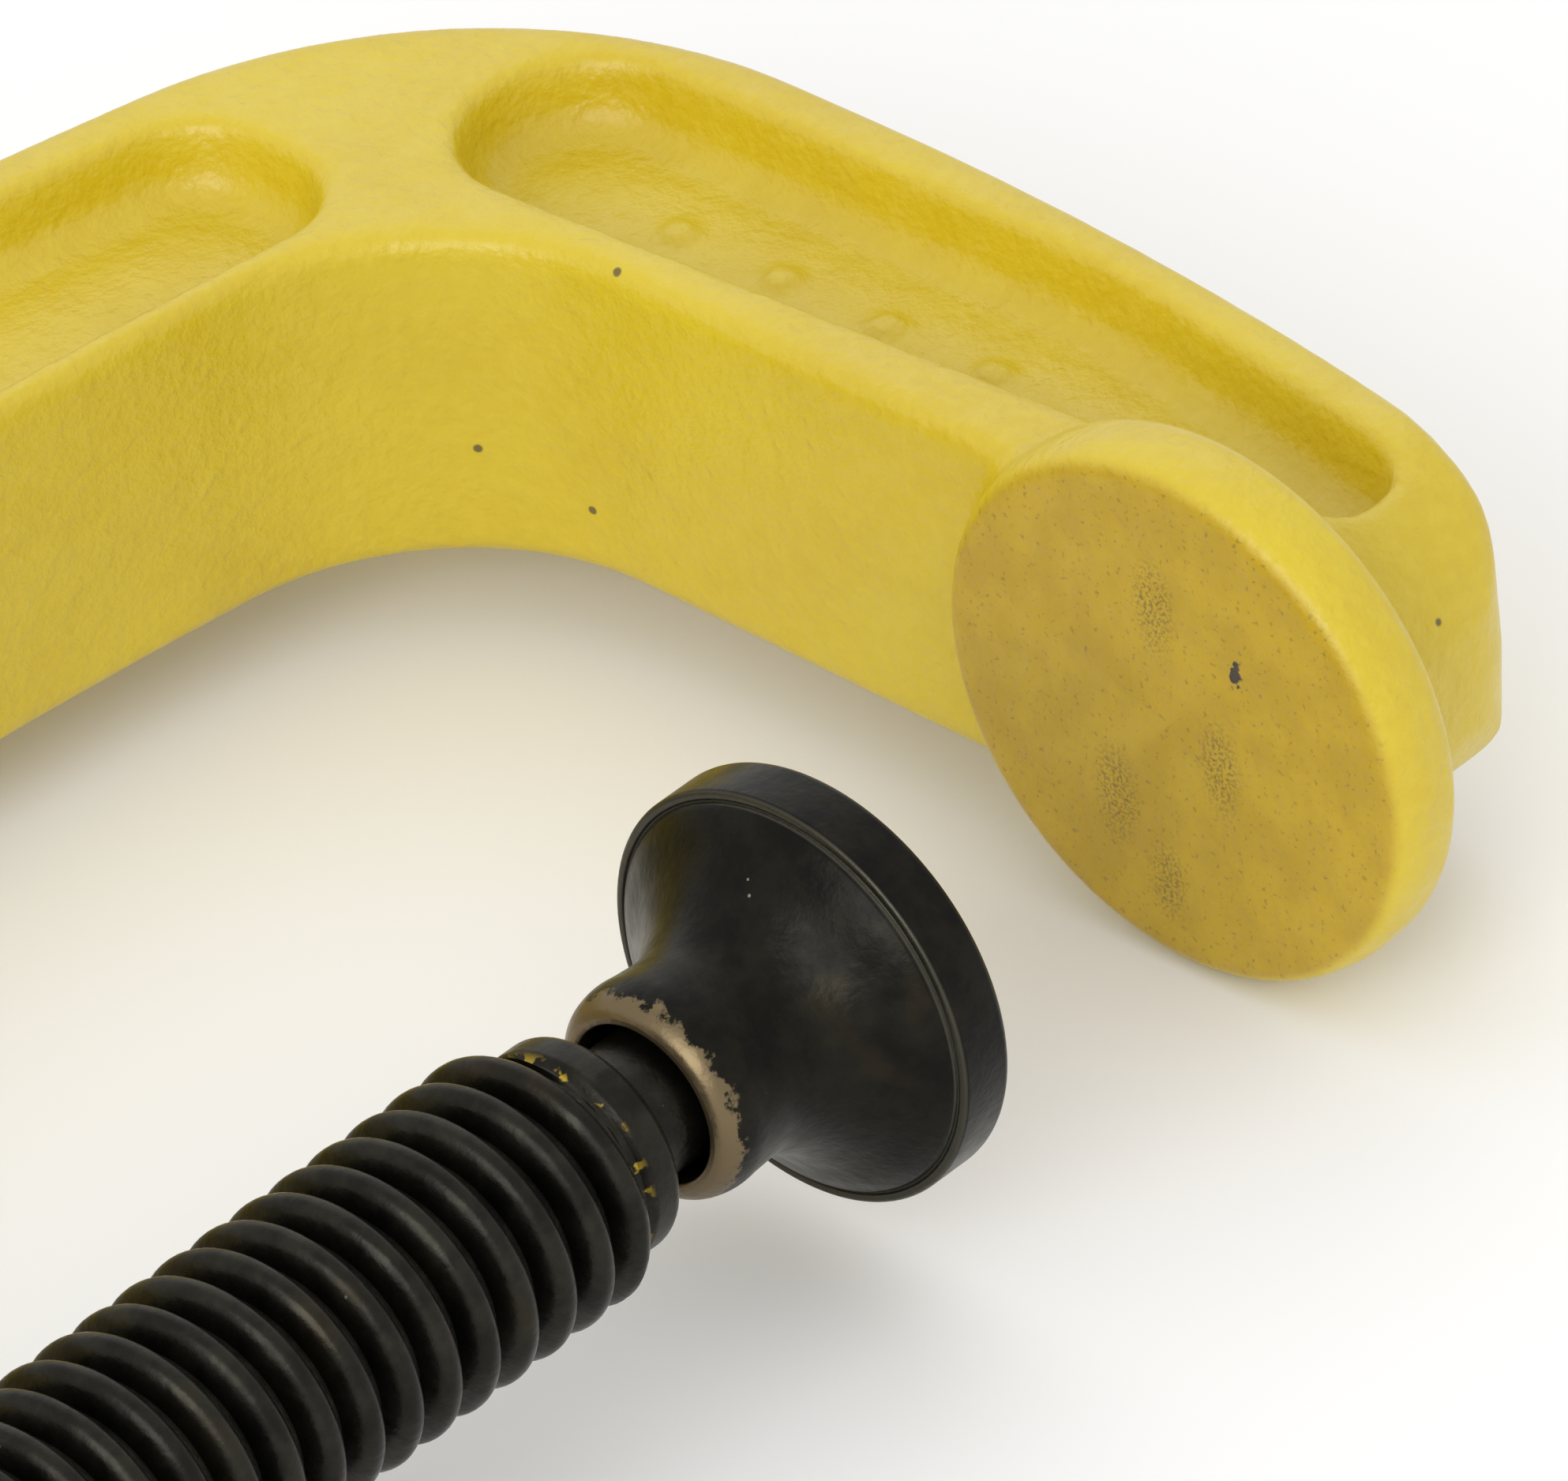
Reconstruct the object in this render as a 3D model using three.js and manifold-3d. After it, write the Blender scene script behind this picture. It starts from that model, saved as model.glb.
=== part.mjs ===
// C clamp with a cast I-section frame, a trapezoidal spindle, a swivel pad and a sliding tommy bar.
// Millimetres. The clamp lies on its side: +X runs along the spindle towards the anvil, +Y towards
// the spine, +Z out of the frame's flat side. The origin is the middle of the anvil's working face.
import * as THREE from 'three';
import { mergeVertices } from 'three/addons/utils/BufferGeometryUtils.js';
import Module from 'manifold-3d';

const wasm = await Module();
wasm.setup();

// Frame casting
const FRAME_THICKNESS = 22.4;
const FRAME_EDGE_BEVEL = 1.2;
const BOSS_FACE_X = -117;
const MIRROR_X = BOSS_FACE_X / 2;
const OUTER_ARM_X = 24.5;
const OUTER_CORNER_Y = 73.6;
const OUTER_CORNER_R = 31;
const OUTER_SPINE_SLOPE = 0.218;
const OUTER_SPINE_R = 244;
const OUTER_ARM_BEND_Y = 20.8;
const OUTER_ARM_BEND_R = 226;
const INNER_ARM_X = 3.05;
const INNER_ARM_TIP_X = 2.1;
const INNER_CORNER_Y = 58.1;
const INNER_CORNER_R = 16.5;
const INNER_SPINE_SLOPE = 0.139;
const INNER_SPINE_R = 341;
const ARM_TIP_X = 18.2;
const ARM_TIP_R = 6;
const ARM_TIP_Y = -FRAME_THICKNESS / 2;

// Pockets between the flanges of the I section
const POCKET_DEPTH = 4.8;
const OUTER_FLANGE = 4.2;
const INNER_FLANGE = 2.15;
const ARM_TIP_FLANGE = 6.4;
const POCKET_CORNER_R = 3;
const POCKET_LEAN = 0.2;
const ARM_POCKET_ROOT_Y = 62.2;
const ARM_POCKET_TIP_Y = -4.6;
const SCREW_POCKET_TIP_Y = 18;
const SPINE_POCKET_X = 1.3;

// Anvil and screw boss, both turned about the spindle's axis
const ANVIL_R = 17;
const ANVIL_FACE_R = 15.9;
const ANVIL_THICKNESS = 5.4;
const ANVIL_EDGE_X = 0.4;
const ANVIL_EDGE_R = 16.7;
const ANVIL_RIM_X = 1.5;
const ANVIL_BACK_EDGE = 1;
const BOSS_R = 14;
const BOSS_LENGTH = 28;
const BOSS_CHAMFER = 1.4;

// Thread: 16 mm trapezoidal, 3 mm pitch, right-handed
const PITCH = 3;
const CREST_R = 8;
const ROOT_R = 6.25;
const CREST_WIDTH = 1.098;
const FLANK_RUN = 0.469;
const THREAD_STEPS = 16;
const THREAD_AXIAL_PLAY = 0.2;
const THREAD_CREST_PLAY = 0.5;
const THREAD_ROOT_PLAY = 0.5;

// Spindle, at a 28 mm jaw opening
const THREAD_FRONT_X = -47.5;
const THREAD_BACK_X = -174;
const THREAD_END_CHAMFER = 1.4;
const THREAD_CREST_TRIM = 0.1;
const END_RING_LENGTH = 2.9;
const END_RING_R = 6.6;
const END_RING_EDGE = 0.5;
const NECK_R = 4.1;
const NOSE_R = 4.6;
const NOSE_START_X = -41.4;
const NOSE_TIP_X = -34.4;
const NOSE_LEAD = 0.5;
const NECK_FILLET = 0.8;
// The nose's rounded end: distance behind the tip, drop below the nose's radius.
const NOSE_END = [[1.6, 0.2], [0.6, 1.4], [0, 3]];
const SWIVEL_X = -38;
const GROOVE_R = 3.8;
const GROOVE_HALF_WIDTH = 0.9;
const HEAD_R = 10;
const HEAD_FRONT_X = -176;
const HEAD_BACK_X = -202;
const HEAD_CHAMFER = 1.6;
const BAR_X = -189;

// Retaining ring
const RING_INNER_R = 4.1;
const RING_OUTER_R = 5.3;
const RING_HALF_WIDTH = 0.6;

// Swivel pad
const PAD_FACE_X = -28;
const PAD_RIM_X = -31.7;
const PAD_R = 12.8;
const PAD_MOUTH_X = -43.8;
const PAD_MOUTH_R = 4.9;
const PAD_SHOULDER_X = -39.5;
const PAD_CAVITY_R = 5.6;
const PAD_FLOOR_X = -33.6;
const PAD_FACE_EDGE = 0.5;
const PAD_RIM_EDGE_X = 0.3;
const PAD_RIM_EDGE_R = 0.4;
const PAD_FLOOR_EDGE = 1;
// The pad's back from rim to collar: distance behind the rim, radius.
const PAD_BACK = [[0.9, 11.2], [2.1, 9.4], [3.5, 7.9], [5, 6.9], [6.8, 6.55], [9.2, 6.6]];
// The collar's round lip and bore edge: distance ahead of the mouth, radius.
const PAD_LIP = [[1.4, 6.4], [0.4, 5.9], [0, 5.4], [0, 5.1]];
const PAD_BORE_EDGE = 0.3;

// Tommy bar
const BAR_R = 4.5;
const BAR_HALF_LENGTH = 62;
const BAR_PLAY = 0.35;
const BAR_EDGE = 0.8;
const CAP_R = 7;
const CAP_DEPTH = 7;
const CAP_OVERHANG = 2.5;
const CAP_PLAY = 0.3;
const CAP_MOUTH_EDGE = 1.4;
// The cap's domed end: distance below the top, drop below the cap's radius.
const CAP_DOME = [[2, 0], [0.6, 1], [0, 2.6]];

const ROUND_STEPS = 36;
const SMALL_ROUND_STEPS = 24;
const ARC_STEP = Math.PI / 12;
const ARC_SAG = 0.1;

// --- solids -------------------------------------------------------------------------------------

function signedVolume(position, index) {
  const [a, b, c] = [new THREE.Vector3(), new THREE.Vector3(), new THREE.Vector3()];
  let volume = 0;
  for (let i = 0; i < index.length; i += 3) {
    a.fromBufferAttribute(position, index[i]);
    b.fromBufferAttribute(position, index[i + 1]);
    c.fromBufferAttribute(position, index[i + 2]);
    volume += a.dot(b.cross(c)) / 6;
  }
  return volume;
}

// A closed geometry with shared vertices, no collapsed triangles and its faces pointing out.
function welded(geometry) {
  const bare = geometry.clone();
  bare.deleteAttribute('normal');
  bare.deleteAttribute('uv');
  const merged = mergeVertices(bare, 1e-4);
  const old = merged.index.array;
  const kept = [];
  for (let i = 0; i < old.length; i += 3) {
    const [a, b, c] = [old[i], old[i + 1], old[i + 2]];
    if (a !== b && b !== c && c !== a) {
      kept.push(a, b, c);
    }
  }
  if (signedVolume(merged.attributes.position, kept) < 0) {
    kept.reverse();
  }
  merged.setIndex(kept);
  return merged;
}

function solid(geometry) {
  const closed = welded(geometry);
  const mesh = new wasm.Mesh({
    numProp: 3,
    vertProperties: new Float32Array(closed.attributes.position.array),
    triVerts: new Uint32Array(closed.index.array),
  });
  mesh.merge();
  return new wasm.Manifold(mesh);
}

function toGeometry(manifold) {
  const mesh = manifold.getMesh();
  const geometry = new THREE.BufferGeometry();
  geometry.setAttribute('position', new THREE.BufferAttribute(mesh.vertProperties, 3));
  geometry.setIndex(new THREE.BufferAttribute(mesh.triVerts, 1));
  return geometry;
}

// A solid of revolution about the X axis from [x, radius] pairs.
function turned(profile, steps) {
  const points = profile.map(([x, r]) => new THREE.Vector2(r, x));
  return new THREE.LatheGeometry(points, steps).rotateZ(-Math.PI / 2);
}

// --- outlines -----------------------------------------------------------------------------------

// A closed shape through corner points [x, y, radius], each corner rounded by a tangent arc.
function roundedShape(corners) {
  const shape = new THREE.Shape();
  corners.forEach(([x, y, radius], i) => {
    const here = new THREE.Vector2(x, y);
    const [px, py] = corners[(i + corners.length - 1) % corners.length];
    const [nx, ny] = corners[(i + 1) % corners.length];
    const back = new THREE.Vector2(px - x, py - y).normalize();
    const ahead = new THREE.Vector2(nx - x, ny - y).normalize();
    const half = Math.acos(THREE.MathUtils.clamp(back.dot(ahead), -1, 1)) / 2;
    const reach = radius / Math.tan(half);
    const start = here.clone().addScaledVector(back, reach);
    const inward = back.clone().add(ahead).normalize();
    const centre = here.clone().addScaledVector(inward, radius / Math.sin(half));
    const turn = back.x * ahead.y - back.y * ahead.x < 0 ? 1 : -1;
    const sweep = Math.PI - 2 * half;
    const step = Math.min(ARC_STEP, 2 * Math.acos(Math.max(0, 1 - ARC_SAG / Math.max(radius, ARC_SAG))));
    const steps = radius > 0 ? Math.ceil(sweep / step) : 0;
    for (let k = 0; k <= steps; k += 1) {
      const angle = steps > 0 ? (turn * sweep * k) / steps : 0;
      const point = start.clone().rotateAround(centre, angle);
      if (i === 0 && k === 0) {
        shape.moveTo(point.x, point.y);
      } else {
        shape.lineTo(point.x, point.y);
      }
    }
  });
  return shape;
}

const mirrored = ([x, y, radius]) => [BOSS_FACE_X - x, y, radius];

function frameOutline() {
  const outerApexY = OUTER_CORNER_Y + (OUTER_ARM_X - MIRROR_X) * OUTER_SPINE_SLOPE;
  const innerApexY = INNER_CORNER_Y + (INNER_ARM_X - MIRROR_X) * INNER_SPINE_SLOPE;
  const outerArm = [
    [ARM_TIP_X, ARM_TIP_Y, ARM_TIP_R],
    [OUTER_ARM_X, OUTER_ARM_BEND_Y, OUTER_ARM_BEND_R],
    [OUTER_ARM_X, OUTER_CORNER_Y, OUTER_CORNER_R],
  ];
  const innerArm = [
    [INNER_ARM_TIP_X, ARM_TIP_Y, 0],
    [INNER_ARM_X, INNER_CORNER_Y, INNER_CORNER_R],
  ];
  return roundedShape([
    ...outerArm,
    [MIRROR_X, outerApexY, OUTER_SPINE_R],
    ...outerArm.map(mirrored).reverse(),
    ...innerArm.map(mirrored),
    [MIRROR_X, innerApexY, INNER_SPINE_R],
    ...innerArm.slice().reverse(),
  ]);
}

// The pocket of one arm down to tipY; below the arm's bend its outer side leans in with the arm.
function armPocketCorners(tipY) {
  const outerX = OUTER_ARM_X - OUTER_FLANGE;
  const rootInnerX = INNER_ARM_X + INNER_FLANGE;
  const rootR = (outerX - rootInnerX) / 2 - 1;
  const belowBend = Math.max(0, OUTER_ARM_BEND_Y - POCKET_CORNER_R - tipY);
  const tipInnerX = INNER_ARM_X + ARM_TIP_FLANGE;
  const bend = belowBend > 0 ? [[outerX, OUTER_ARM_BEND_Y, OUTER_ARM_BEND_R / 4]] : [];
  return [
    [tipInnerX, tipY, POCKET_CORNER_R],
    [outerX - belowBend * POCKET_LEAN, tipY, POCKET_CORNER_R],
    ...bend,
    [outerX, ARM_POCKET_ROOT_Y, rootR],
    [rootInnerX, ARM_POCKET_ROOT_Y, rootR],
  ];
}

function spinePocketCorners() {
  const outerY = (x) => OUTER_CORNER_Y - OUTER_FLANGE + (OUTER_ARM_X - x) * OUTER_SPINE_SLOPE;
  const innerY = (x) => INNER_CORNER_Y + INNER_FLANGE + (INNER_ARM_X - x) * INNER_SPINE_SLOPE;
  const corner = 2 * POCKET_CORNER_R;
  const end = [
    [SPINE_POCKET_X, innerY(SPINE_POCKET_X), corner],
    [SPINE_POCKET_X, outerY(SPINE_POCKET_X), corner],
  ];
  return [
    ...end,
    [MIRROR_X, outerY(MIRROR_X), OUTER_SPINE_R],
    ...end.map(mirrored).reverse(),
    [MIRROR_X, innerY(MIRROR_X), INNER_SPINE_R],
  ];
}

function pocketCutter(corners, side) {
  const shape = roundedShape(corners);
  const overrun = 1;
  const cutter = new THREE.ExtrudeGeometry(shape, { depth: POCKET_DEPTH + overrun, bevelEnabled: false });
  const floorZ = FRAME_THICKNESS / 2 - POCKET_DEPTH;
  cutter.translate(0, 0, side > 0 ? floorZ : -floorZ - POCKET_DEPTH - overrun);
  return solid(cutter);
}

// --- thread -------------------------------------------------------------------------------------

// A right-handed trapezoidal screw about the X axis. Row i holds the profile at angle i steps and has
// moved on by pitch / THREAD_STEPS; the last profile point of a row is the first one, one turn later.
function screwBlank(startX, endX, crestR, rootR, crestWidth) {
  const rows = Math.ceil(((endX - startX) / PITCH) * THREAD_STEPS);
  const profile = [
    [0, crestR],
    [crestWidth, crestR],
    [crestWidth + FLANK_RUN, rootR],
    [PITCH - FLANK_RUN, rootR],
  ];
  const columns = profile.length;
  const positions = [];
  for (let i = 0; i <= rows + THREAD_STEPS; i += 1) {
    const angle = (i / THREAD_STEPS) * 2 * Math.PI;
    const advance = startX - crestWidth / 2 + (i / THREAD_STEPS) * PITCH;
    for (const [offset, r] of profile) {
      positions.push(advance + offset, r * Math.cos(angle), r * Math.sin(angle));
    }
  }
  const at = (i, j) => (j === columns ? (i + THREAD_STEPS) * columns : i * columns + j);
  const index = [];
  for (let i = 0; i < rows; i += 1) {
    for (let j = 0; j < columns; j += 1) {
      index.push(at(i, j), at(i, j + 1), at(i + 1, j + 1));
      index.push(at(i, j), at(i + 1, j + 1), at(i + 1, j));
    }
  }
  const closeEnd = (row, flip) => {
    const centre = positions.length / 3;
    positions.push(startX - crestWidth / 2 + (row / THREAD_STEPS + 0.5) * PITCH, 0, 0);
    const loop = [];
    for (let j = 0; j <= columns; j += 1) {
      loop.push(at(row, j));
    }
    for (let i = THREAD_STEPS - 1; i > 0; i -= 1) {
      loop.push(at(row + i, 0));
    }
    loop.forEach((vertex, k) => {
      const next = loop[(k + 1) % loop.length];
      index.push(centre, flip ? next : vertex, flip ? vertex : next);
    });
  };
  closeEnd(0, true);
  closeEnd(rows, false);
  const geometry = new THREE.BufferGeometry();
  geometry.setAttribute('position', new THREE.Float32BufferAttribute(positions, 3));
  geometry.setIndex(index);
  return solid(geometry);
}

// --- sub-parts ----------------------------------------------------------------------------------

function frameSolid() {
  const plate = new THREE.ExtrudeGeometry(frameOutline(), {
    depth: FRAME_THICKNESS - 2 * FRAME_EDGE_BEVEL,
    bevelEnabled: true,
    bevelThickness: FRAME_EDGE_BEVEL,
    bevelSize: FRAME_EDGE_BEVEL,
    bevelOffset: -FRAME_EDGE_BEVEL,
    bevelSegments: 2,
  });
  plate.translate(0, 0, FRAME_EDGE_BEVEL - FRAME_THICKNESS / 2);
  // Both arm ends are rounded about the spindle's axis.
  const keepLength = 220;
  const keepHeight = 100;
  const above = new THREE.BoxGeometry(keepLength, keepHeight, 2 * FRAME_THICKNESS);
  above.translate(MIRROR_X, keepHeight / 2, 0);
  const nose = new THREE.CylinderGeometry(FRAME_THICKNESS / 2, FRAME_THICKNESS / 2, keepLength, ROUND_STEPS);
  nose.rotateZ(Math.PI / 2).translate(MIRROR_X, 0, 0);
  let body = solid(plate).intersect(solid(above).add(solid(nose)));

  const anvil = turned([
    [0, 0],
    [0, ANVIL_FACE_R],
    [ANVIL_EDGE_X, ANVIL_EDGE_R],
    [ANVIL_RIM_X, ANVIL_R],
    [ANVIL_THICKNESS - ANVIL_BACK_EDGE, ANVIL_R],
    [ANVIL_THICKNESS, ANVIL_R - ANVIL_BACK_EDGE],
    [ANVIL_THICKNESS, 0],
  ], ROUND_STEPS);
  const bossBack = BOSS_FACE_X - BOSS_LENGTH;
  const boss = turned([
    [BOSS_FACE_X, 0],
    [BOSS_FACE_X, BOSS_R - BOSS_CHAMFER],
    [BOSS_FACE_X - BOSS_CHAMFER, BOSS_R],
    [bossBack + BOSS_CHAMFER, BOSS_R],
    [bossBack, BOSS_R - BOSS_CHAMFER],
    [bossBack, 0],
  ], ROUND_STEPS);
  body = body.add(solid(anvil)).add(solid(boss));

  const pockets = [
    armPocketCorners(ARM_POCKET_TIP_Y),
    armPocketCorners(SCREW_POCKET_TIP_Y).map(mirrored).reverse(),
    spinePocketCorners(),
  ];
  for (const corners of pockets) {
    for (const side of [1, -1]) {
      body = body.subtract(pocketCutter(corners, side));
    }
  }

  const tapCrest = CREST_R + THREAD_CREST_PLAY;
  const tapRoot = ROOT_R + THREAD_ROOT_PLAY;
  const overrun = 4 * PITCH;
  const turns = Math.round((-THREAD_FRONT_X - BOSS_FACE_X + BOSS_LENGTH) / PITCH);
  const tapStart = THREAD_FRONT_X - turns * PITCH;
  const tapEnd = BOSS_FACE_X + overrun;
  const tap = screwBlank(tapStart, tapEnd, tapCrest, tapRoot, CREST_WIDTH + 2 * THREAD_AXIAL_PLAY);
  const lead = 1.2;
  const reach = turned([
    [bossBack - overrun / 2, 0],
    [bossBack - overrun / 2, BOSS_R],
    [BOSS_FACE_X + overrun / 2, BOSS_R],
    [BOSS_FACE_X + overrun / 2, 0],
  ], ROUND_STEPS);
  const leadIn = (faceX, inward) => solid(turned([
    [faceX - inward, 0],
    [faceX - inward, tapCrest + lead],
    [faceX, tapCrest + lead],
    [faceX + inward * (lead + tapCrest - tapRoot), tapRoot],
    [faceX + inward * (lead + tapCrest - tapRoot), 0],
  ], ROUND_STEPS));
  return body
    .subtract(tap.intersect(solid(reach)))
    .subtract(leadIn(BOSS_FACE_X, -1))
    .subtract(leadIn(bossBack, 1));
}

function spindleSolid() {
  const overrun = 4 * PITCH;
  const turns = Math.ceil((THREAD_FRONT_X - THREAD_BACK_X + overrun) / PITCH);
  const startX = THREAD_FRONT_X - turns * PITCH;
  const blank = screwBlank(startX, THREAD_FRONT_X + overrun, CREST_R, ROOT_R, CREST_WIDTH);
  const envelopeR = CREST_R + THREAD_CREST_TRIM;
  const crestFrontX = THREAD_FRONT_X - END_RING_LENGTH;
  const envelope = turned([
    [crestFrontX, 0],
    [crestFrontX, ROOT_R],
    [crestFrontX - THREAD_END_CHAMFER, envelopeR],
    [THREAD_BACK_X + THREAD_END_CHAMFER, envelopeR],
    [THREAD_BACK_X, envelopeR - THREAD_END_CHAMFER],
    [THREAD_BACK_X, 0],
  ], ROUND_STEPS);
  const overlap = 1;
  const coreR = ROOT_R - THREAD_CREST_TRIM;
  const nose = turned([
    [crestFrontX - overlap, 0],
    [crestFrontX - overlap, coreR],
    [crestFrontX, coreR],
    [crestFrontX + END_RING_EDGE, END_RING_R],
    [THREAD_FRONT_X - END_RING_EDGE, END_RING_R],
    [THREAD_FRONT_X, END_RING_R - END_RING_EDGE],
    [THREAD_FRONT_X, NECK_R + NECK_FILLET],
    [THREAD_FRONT_X + NECK_FILLET, NECK_R],
    [NOSE_START_X, NECK_R],
    [NOSE_START_X + NOSE_LEAD, NOSE_R],
    [SWIVEL_X - GROOVE_HALF_WIDTH, NOSE_R],
    [SWIVEL_X - GROOVE_HALF_WIDTH, GROOVE_R],
    [SWIVEL_X + GROOVE_HALF_WIDTH, GROOVE_R],
    [SWIVEL_X + GROOVE_HALF_WIDTH, NOSE_R],
    ...NOSE_END.map(([behind, drop]) => [NOSE_TIP_X - behind, NOSE_R - drop]),
    [NOSE_TIP_X, 0],
  ], SMALL_ROUND_STEPS);
  const head = turned([
    [THREAD_BACK_X + overlap, 0],
    [THREAD_BACK_X + overlap, ROOT_R],
    [HEAD_FRONT_X, ROOT_R],
    [HEAD_FRONT_X, HEAD_R - HEAD_CHAMFER],
    [HEAD_FRONT_X - HEAD_CHAMFER, HEAD_R],
    [HEAD_BACK_X + HEAD_CHAMFER, HEAD_R],
    [HEAD_BACK_X, HEAD_R - HEAD_CHAMFER],
    [HEAD_BACK_X, 0],
  ], ROUND_STEPS);
  const hole = new THREE.CylinderGeometry(BAR_R + BAR_PLAY, BAR_R + BAR_PLAY, 3 * HEAD_R, SMALL_ROUND_STEPS);
  hole.translate(BAR_X, 0, 0);
  return blank.intersect(solid(envelope)).add(solid(nose)).add(solid(head)).subtract(solid(hole));
}

function retainingRing() {
  const edge = 0.25;
  return turned([
    [SWIVEL_X - RING_HALF_WIDTH, RING_INNER_R + edge],
    [SWIVEL_X - RING_HALF_WIDTH, RING_OUTER_R - edge],
    [SWIVEL_X - RING_HALF_WIDTH + edge, RING_OUTER_R],
    [SWIVEL_X + RING_HALF_WIDTH - edge, RING_OUTER_R],
    [SWIVEL_X + RING_HALF_WIDTH, RING_OUTER_R - edge],
    [SWIVEL_X + RING_HALF_WIDTH, RING_INNER_R + edge],
    [SWIVEL_X + RING_HALF_WIDTH - edge, RING_INNER_R],
    [SWIVEL_X - RING_HALF_WIDTH + edge, RING_INNER_R],
    [SWIVEL_X - RING_HALF_WIDTH, RING_INNER_R + edge],
  ], SMALL_ROUND_STEPS);
}

// A collar that narrows to a waist, then flares to a flat round foot; blind cavity inside.
function swivelPad() {
  return turned([
    [PAD_FACE_X, 0],
    [PAD_FACE_X, PAD_R - PAD_FACE_EDGE],
    [PAD_FACE_X - PAD_FACE_EDGE, PAD_R],
    [PAD_RIM_X + PAD_RIM_EDGE_X, PAD_R],
    [PAD_RIM_X, PAD_R - PAD_RIM_EDGE_R],
    ...PAD_BACK.map(([behind, r]) => [PAD_RIM_X - behind, r]),
    ...PAD_LIP.map(([ahead, r]) => [PAD_MOUTH_X + ahead, r]),
    [PAD_MOUTH_X + PAD_BORE_EDGE, PAD_MOUTH_R],
    [PAD_SHOULDER_X, PAD_MOUTH_R],
    [PAD_SHOULDER_X, PAD_CAVITY_R],
    [PAD_FLOOR_X - PAD_FLOOR_EDGE, PAD_CAVITY_R],
    [PAD_FLOOR_X, PAD_CAVITY_R - PAD_FLOOR_EDGE],
    [PAD_FLOOR_X, 0],
  ], ROUND_STEPS);
}

// The bar and its caps lie along Y, turned along X first and then swung round.
const alongY = (geometry) => geometry.rotateZ(Math.PI / 2).translate(BAR_X, 0, 0);

function tommyBar() {
  const end = BAR_HALF_LENGTH;
  return alongY(turned([
    [-end, 0],
    [-end, BAR_R - BAR_EDGE],
    [-end + BAR_EDGE, BAR_R],
    [end - BAR_EDGE, BAR_R],
    [end, BAR_R - BAR_EDGE],
    [end, 0],
  ], SMALL_ROUND_STEPS));
}

function barCap(side) {
  const mouth = BAR_HALF_LENGTH - CAP_DEPTH;
  const top = BAR_HALF_LENGTH + CAP_OVERHANG;
  const floor = BAR_HALF_LENGTH + CAP_PLAY;
  const profile = [
    [mouth, BAR_R + CAP_PLAY],
    [mouth, CAP_R - CAP_MOUTH_EDGE],
    [mouth + CAP_MOUTH_EDGE, CAP_R],
    ...CAP_DOME.map(([below, drop]) => [top - below, CAP_R - drop]),
    [top, 0],
    [floor, 0],
    [floor, BAR_R + CAP_PLAY],
    [mouth, BAR_R + CAP_PLAY],
  ];
  return alongY(turned(profile.map(([along, r]) => [side * along, r]), SMALL_ROUND_STEPS));
}

// --- assembly -----------------------------------------------------------------------------------

const paint = new THREE.MeshStandardMaterial({ color: 0xdcc233, roughness: 0.45, metalness: 0 });
const blackOxide = new THREE.MeshStandardMaterial({ color: 0x17181a, roughness: 0.38, metalness: 0.8 });
const springSteel = new THREE.MeshStandardMaterial({ color: 0x8c8f93, roughness: 0.35, metalness: 1 });
const platedSteel = new THREE.MeshStandardMaterial({ color: 0x2a2b2d, roughness: 0.35, metalness: 0.9 });

const clamp = new THREE.Group();

function addPart(name, geometry, material) {
  const mesh = new THREE.Mesh(geometry, material.clone());
  mesh.name = name;
  clamp.add(mesh);
}

addPart('frame', toGeometry(frameSolid()), paint);
addPart('spindle', toGeometry(spindleSolid()), blackOxide);
addPart('retaining_ring', welded(retainingRing()), springSteel);
addPart('swivel_pad', welded(swivelPad()), blackOxide);
addPart('tommy_bar', welded(tommyBar()), platedSteel);
addPart('bar_cap_left', welded(barCap(1)), platedSteel);
addPart('bar_cap_right', welded(barCap(-1)), platedSteel);

export default clamp;
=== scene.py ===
"""C clamp: cast frame, black spindle and swivel pad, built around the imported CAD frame."""

import math

import bmesh
import bpy
import numpy as np
from mathutils import Matrix, Vector


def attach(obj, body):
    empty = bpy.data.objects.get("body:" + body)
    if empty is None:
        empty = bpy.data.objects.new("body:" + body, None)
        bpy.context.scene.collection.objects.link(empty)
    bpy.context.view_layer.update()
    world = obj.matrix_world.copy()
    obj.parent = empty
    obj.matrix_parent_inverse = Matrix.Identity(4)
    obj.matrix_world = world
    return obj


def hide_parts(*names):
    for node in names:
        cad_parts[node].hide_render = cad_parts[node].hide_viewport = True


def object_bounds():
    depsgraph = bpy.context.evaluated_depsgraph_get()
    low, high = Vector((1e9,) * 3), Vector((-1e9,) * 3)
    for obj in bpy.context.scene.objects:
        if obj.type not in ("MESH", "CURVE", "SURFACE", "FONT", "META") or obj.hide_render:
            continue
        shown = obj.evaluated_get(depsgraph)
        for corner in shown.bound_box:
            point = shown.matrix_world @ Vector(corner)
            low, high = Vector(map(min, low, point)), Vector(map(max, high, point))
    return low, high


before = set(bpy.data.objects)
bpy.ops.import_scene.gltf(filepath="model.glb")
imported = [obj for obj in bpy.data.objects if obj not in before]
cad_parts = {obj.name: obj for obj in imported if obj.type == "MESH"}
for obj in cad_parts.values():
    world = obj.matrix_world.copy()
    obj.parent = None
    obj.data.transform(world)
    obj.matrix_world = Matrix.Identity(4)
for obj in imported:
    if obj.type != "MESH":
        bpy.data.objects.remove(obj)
cad_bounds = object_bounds()

MM = 0.001

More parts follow.
